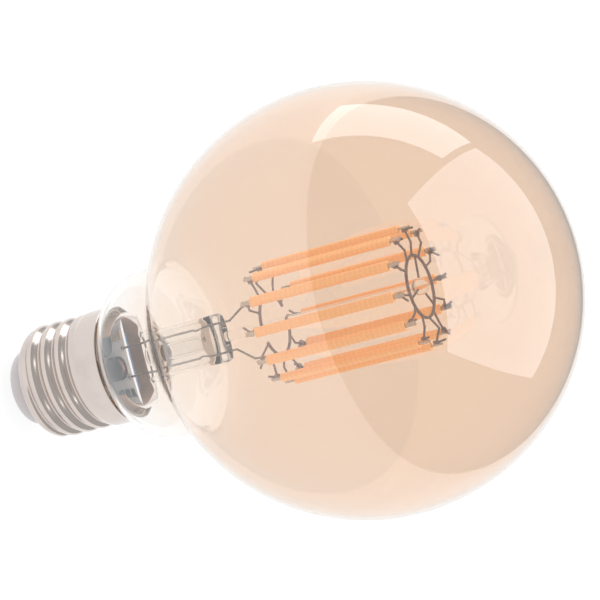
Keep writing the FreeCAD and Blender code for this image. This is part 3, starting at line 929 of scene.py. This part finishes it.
@dataclass
class Cage(SubAssembly):
    """The filaments and the wire frames that join them.

    Attributes:
        count: how many filaments there are.
    """

    count: int = 12

    def numbered(self, stem: str) -> list[str]:
        """The node names of one kind of filament piece."""
        return [f"{stem}_{index + 1:02d}" for index in range(self.count)]

    def build(self) -> None:
        """Dress the filaments and their wires."""
        self.dress(self.numbered("filament_coat"), Slot.PHOSPHOR_SILICONE)
        self.dress(self.numbered("filament_strip"), Slot.STRIP_METAL)
        wires = ["upper_ring", "upper_arms", "lower_ring_live", "lower_ring_neutral"]
        self.dress(wires + ["lower_arms_live", "lower_arms_neutral", "ring_spokes"], Slot.FRAME_WIRE)


@dataclass
class ScrewCap(SubAssembly):
    """The rolled screw shell, its insulator, contact and cement.

    Attributes:
        sheet: thickness of the shell.
        major: diameter over the thread's crests before they are broadened.
        minor: diameter over its roots before they are narrowed.
        pitch: height of one turn.
        start: height where the mouth's curve ends and the thread comes in.
        end: height where it has run out.
        fade: height over which it comes in and runs out.
        crest: how much broader the crests are than a plain wave's, and how much
            narrower the roots.
        skirt: radius of the plain skirt.
        flare: how far the rim turns out.
        flare_rise: height over which it does.
        mouth: radius of the lower opening.
        mouth_height: height of the lower opening.
        top: height of the rim.
        probe: distance up and down at which the wall's slope is read.
        columns: points in each ring.
        mouth_rows: rings from the mouth to the thread.
        thread_rows: steps from the thread's start to the rim.
    """

    sheet: float = 0.3 * MM
    major: float = 26.2 * MM
    minor: float = 24.2 * MM
    pitch: float = 3.629 * MM
    start: float = 8.2 * MM
    end: float = 21.2 * MM
    fade: float = 2.0 * MM
    crest: float = 0.16
    skirt: float = 13.2 * MM
    flare: float = 0.25 * MM
    flare_rise: float = 1.0 * MM
    mouth: float = 8.6 * MM
    mouth_height: float = 5.0 * MM
    top: float = 27.0 * MM
    probe: float = 0.05 * MM
    columns: int = 160
    mouth_rows: int = 12
    thread_rows: int = 150

    def plain_radius(self, z: float) -> float:
        """Find the shell's radius before the thread is rolled in.

        Args:
            z: the height.

        Returns:
            The outer radius there.
        """
        mean = (self.major + self.minor) / 4
        low = min(1.0, (z - self.mouth_height) / (self.start - self.mouth_height))
        radius = self.mouth + (mean - self.mouth) * math.sqrt(max(0.0, 1 - (1 - low) ** 2))
        high = clamp((z - self.end + self.fade / 2) / self.fade)
        radius += (self.skirt - mean) * ease(high)
        return radius + self.flare * max(0.0, (z - self.top + self.flare_rise) / self.flare_rise) ** 2

    def share(self, z: float) -> float:
        """Find how much of the thread's depth is there.

        Args:
            z: the height.

        Returns:
            A share from 0 to 1.
        """
        rise = clamp((z - self.start + self.fade / 2) / self.fade)
        fall = clamp((self.end - z) / self.fade)
        return math.sin(rise * math.pi / 2) * math.sin(fall * math.pi / 2)

    def wall_ring(self, z: float, inset: float) -> Ring:
        """Make one ring of the outer or inner wall.

        Args:
            z: the ring's height.
            inset: how far it is moved in.

        Returns:
            The ring, with the thread rolled in.
        """
        below = max(self.mouth_height, z - self.probe)
        above = min(self.top, z + self.probe)
        slope = (self.plain_radius(above) - self.plain_radius(below)) / (above - below)
        length = math.hypot(1.0, slope)
        radius = self.plain_radius(z) - inset / length
        height = z + inset * slope / length
        depth = (self.major - self.minor) / 4 * self.share(z)

        def ring(turn: float) -> Point:
            """Roll one point of the thread.

            Args:
                turn: the angle in radians.

            Returns:
                The point.
            """
            phase = 2 * math.pi * z / self.pitch - turn
            wave = math.cos(phase) - self.crest * math.cos(2 * phase)
            reach = radius + depth * wave
            return (reach * math.cos(turn), reach * math.sin(turn), height)

        return ring

    def heights(self) -> list[float]:
        """Space the rings, closest together at the mouth.

        Returns:
            Their heights from the mouth up.
        """
        mouth = self.start - self.mouth_height
        rest = self.top - self.start
        rows = [self.mouth_height + (row / self.mouth_rows) ** 2 * mouth for row in range(self.mouth_rows)]
        rows += [self.start + row * rest / self.thread_rows for row in range(self.thread_rows + 1)]
        return rows

    def build(self) -> None:
        """Roll the shell and dress what it holds."""
        skin = Rings(columns=self.columns)
        for height in self.heights():
            skin.add(self.wall_ring(height, 0.0))
        for height in reversed(self.heights()):
            skin.add(self.wall_ring(height, self.sheet))
        skin.join_ends()
        self.stand_in(skin.piece("rolled_shell"), "screw_shell", Slot.PLATED_SHELL)
        self.dress(["cap_insulator"], Slot.WHITE_INSULATOR)
        self.dress(["centre_contact"], Slot.CONTACT_METAL)
        self.dress(["cap_cement"], Slot.CEMENT)
        self.dress(["shell_solder", "board_solder"], Slot.SOLDER)
        self.dress(["live_wire"], Slot.RED_INSULATION)
        self.dress(["neutral_wire"], Slot.BLACK_INSULATION)


@dataclass
class Driver(SubAssembly):
    """The driver board in its film sleeve, with the wireless module."""

    def build(self) -> None:
        """Dress the sleeve, the boards and what is on them."""
        self.dress(["driver_sleeve"], Slot.BROWN_FILM)
        self.dress(["driver_board"], Slot.WHITE_BOARD)
        self.dress(["wireless_module"], Slot.BLUE_BOARD)
        self.dress(["wireless_shield"], Slot.SHIELD_METAL)
        self.dress(["wireless_antenna", "inductor_winding"], Slot.COPPER)
        self.dress(["inductor_core"], Slot.FERRITE)
        moulded = ["smoothing_capacitor", "driver_chip", "bridge_rectifier", "small_resistors"]
        self.dress(moulded, Slot.BLACK_PLASTIC)
        self.dress(["small_capacitors"], Slot.TAN_CERAMIC)
        self.dress(["fusible_resistor"], Slot.RESISTOR_BODY)


# ---------------------------------------------------------------- studio


@dataclass(frozen=True)
class Shot:
    """The camera's place, as seen from the globe's centre.

    Attributes:
        distance: from the globe's centre, in metres.
        elevation: height above the horizon in degrees.
        roll: slope of the bulb's axis in the view, in degrees.
        lens: focal length in mm.
        aim: how far the globe sits from the middle of the view, as shares
            of the distance, right and down.
        centre: the globe's centre in metres.
        film_width: width of the film that the lens is given for, in mm.
        clip_end: how far the camera sees, in metres.
    """

    distance: float = 0.6492
    elevation: float = 24.256
    roll: float = 14.733
    lens: float = 180.0
    aim: tuple[float, float] = (0.02168, 0.00022)
    centre: Point = (0.0, 0.0, 0.0875)
    film_width: float = 36.0
    clip_end: float = 20.0

    def axes(self) -> tuple[Vector, Vector, Vector]:
        """Find the camera's directions.

        Returns:
            Its right, up and backward directions.
        """
        rise = math.radians(self.elevation)
        turn = math.radians(self.roll)
        back = Vector((0.0, -math.cos(rise), math.sin(rise)))
        along = Vector((0.0, math.sin(rise), math.cos(rise)))
        across = Vector((1.0, 0.0, 0.0))
        right = along * math.cos(turn) + across * math.sin(turn)
        up = along * math.sin(turn) - across * math.cos(turn)
        return right, up, back

    def camera(self) -> bpy.types.Object:
        """Make the camera and let the scene use it.

        Returns:
            The camera object.
        """
        right, up, back = self.axes()
        data = bpy.data.cameras.new("camera")
        data.lens = self.lens
        data.sensor_width = self.film_width
        data.clip_end = self.clip_end
        made = bpy.data.objects.new("camera", data)
        bpy.context.scene.collection.objects.link(made)
        shift = right * self.aim[0] - up * self.aim[1] - back
        place = Vector(self.centre) - shift * self.distance
        made.matrix_world = matrix_from(right, up, back, place)
        bpy.context.scene.camera = made
        return made


def matrix_from(right: Vector, up: Vector, back: Vector, place: Vector) -> Matrix:
    """A transform from three directions and a place."""
    rows = [(right[i], up[i], back[i], place[i]) for i in range(3)]
    return Matrix([*rows, (0.0, 0.0, 0.0, 1.0)])


@dataclass(frozen=True)
class Softbox:
    """One rectangular softbox, aimed at the middle of the globe.

    Attributes:
        name: the lamp's name.
        across: how far round it stands from the camera, in degrees, right positive.
        above: how far above the camera's line of sight, in degrees.
        distance: from the globe's centre, in metres.
        size: width and height in metres.
        power: in watts.
    """

    name: str
    across: float
    above: float
    distance: float
    size: tuple[float, float]
    power: float

    def build(self, shot: Shot) -> bpy.types.Object:
        """Make the lamp.

        Args:
            shot: the camera that the lamp stands beside.

        Returns:
            The lamp object.
        """
        right, up, back = shot.axes()
        turn = math.radians(self.across)
        rise = math.radians(self.above)
        level = right * math.sin(turn) + back * math.cos(turn)
        toward = (level * math.cos(rise) + up * math.sin(rise)).normalized()
        side = (right * math.cos(turn) - back * math.sin(turn)).normalized()
        data = bpy.data.lights.new(self.name, "AREA")
        data.shape = "RECTANGLE"
        data.size, data.size_y = self.size
        data.energy = self.power
        made = bpy.data.objects.new(self.name, data)
        bpy.context.scene.collection.objects.link(made)
        place = Vector(shot.centre) + toward * self.distance
        made.matrix_world = matrix_from(side, toward.cross(side), toward, place)
        made.visible_camera = False
        made.visible_transmission = False
        return made


@dataclass
class Studio:
    """Plain soft studio light: pale floor, white surround and two softboxes.

    Attributes:
        shot: the camera.
        floor_size: side of the floor in metres.
        floor_drop: gap between the floor and the contact in metres.
        floor_shade: grey of the floor.
        floor_roughness: roughness of the floor.
        floor_glow: light that the floor gives off, which makes it white.
        surround: brightness of the walls as they show in polished faces.
        softboxes: side and overhead lamps.
    """

    shot: Shot
    floor_size: float = 6.0
    floor_drop: float = 0.0002
    floor_shade: float = 0.14
    floor_roughness: float = 0.9
    floor_glow: float = 0.86
    surround: float = 0.55
    softboxes: tuple[Softbox, ...] = (
        Softbox("side_softbox", 76.0, 16.0, 0.9, (1.4, 1.7), 11.0),
        Softbox("overhead_softbox", -6.0, 106.0, 0.9, (1.0, 0.45), 2.8),
    )

    def floor(self) -> bpy.types.Object:
        """Lay the pale floor under the cap.

        Returns:
            The floor object.
        """
        half = self.floor_size / 2
        sides = ((-half, -half), (half, -half), (half, half), (-half, half))
        corners = [(across, along, -self.floor_drop) for across, along in sides]
        made = mesh_piece("floor", corners, [(0, 1, 2, 3)])
        paper = bpy.data.materials.new("paper")
        paper.use_nodes = True
        graph = Graph(paper.node_tree)
        finish = {
            "Base Color": (self.floor_shade, self.floor_shade, self.floor_shade),
            "Roughness": self.floor_roughness,
            "Emission Color": WHITE,
            "Emission Strength": self.floor_glow,
        }
        shader = graph.node("ShaderNodeBsdfPrincipled", inputs=finish)
        graph.node("ShaderNodeOutputMaterial", inputs={"Surface": shader.outputs[0]})
        made.data.materials.append(paper)
        return made

    def walls(self) -> None:
        """Light the scene evenly from all round, a little darker where it is mirrored."""
        world = bpy.data.worlds.new("surround")
        world.use_nodes = True
        bpy.context.scene.world = world
        graph = Graph(world.node_tree)
        path = graph.node("ShaderNodeLightPath")
        mirrored = Value(graph, path.outputs["Is Glossy Ray"])
        strength = 1.0 - mirrored * (1.0 - self.surround)
        light = {"Color": WHITE, "Strength": strength}
        background = graph.node("ShaderNodeBackground", inputs=light)
        graph.node("ShaderNodeOutputWorld", inputs={"Surface": background.outputs[0]})

    def build(self) -> None:
        """Set up floor, light and camera."""
        self.floor()
        self.walls()
        for softbox in self.softboxes:
            softbox.build(self.shot)
        self.shot.camera()
        view = bpy.context.scene.view_settings
        view.view_transform = "Standard"
        view.look = "None"


def main() -> None:
    """Dress the bulb, light it and report every piece."""
    logging.basicConfig(level=logging.INFO, format="%(name)s %(message)s")
    palette = bulb_palette()
    kinds = (Envelope, GlassMount, Cage, ScrewCap, Driver)
    for kind in kinds:
        group = kind(palette)
        group.build()
        group.report()
    Studio(Shot()).build()


if __name__ == "__main__":
    main()
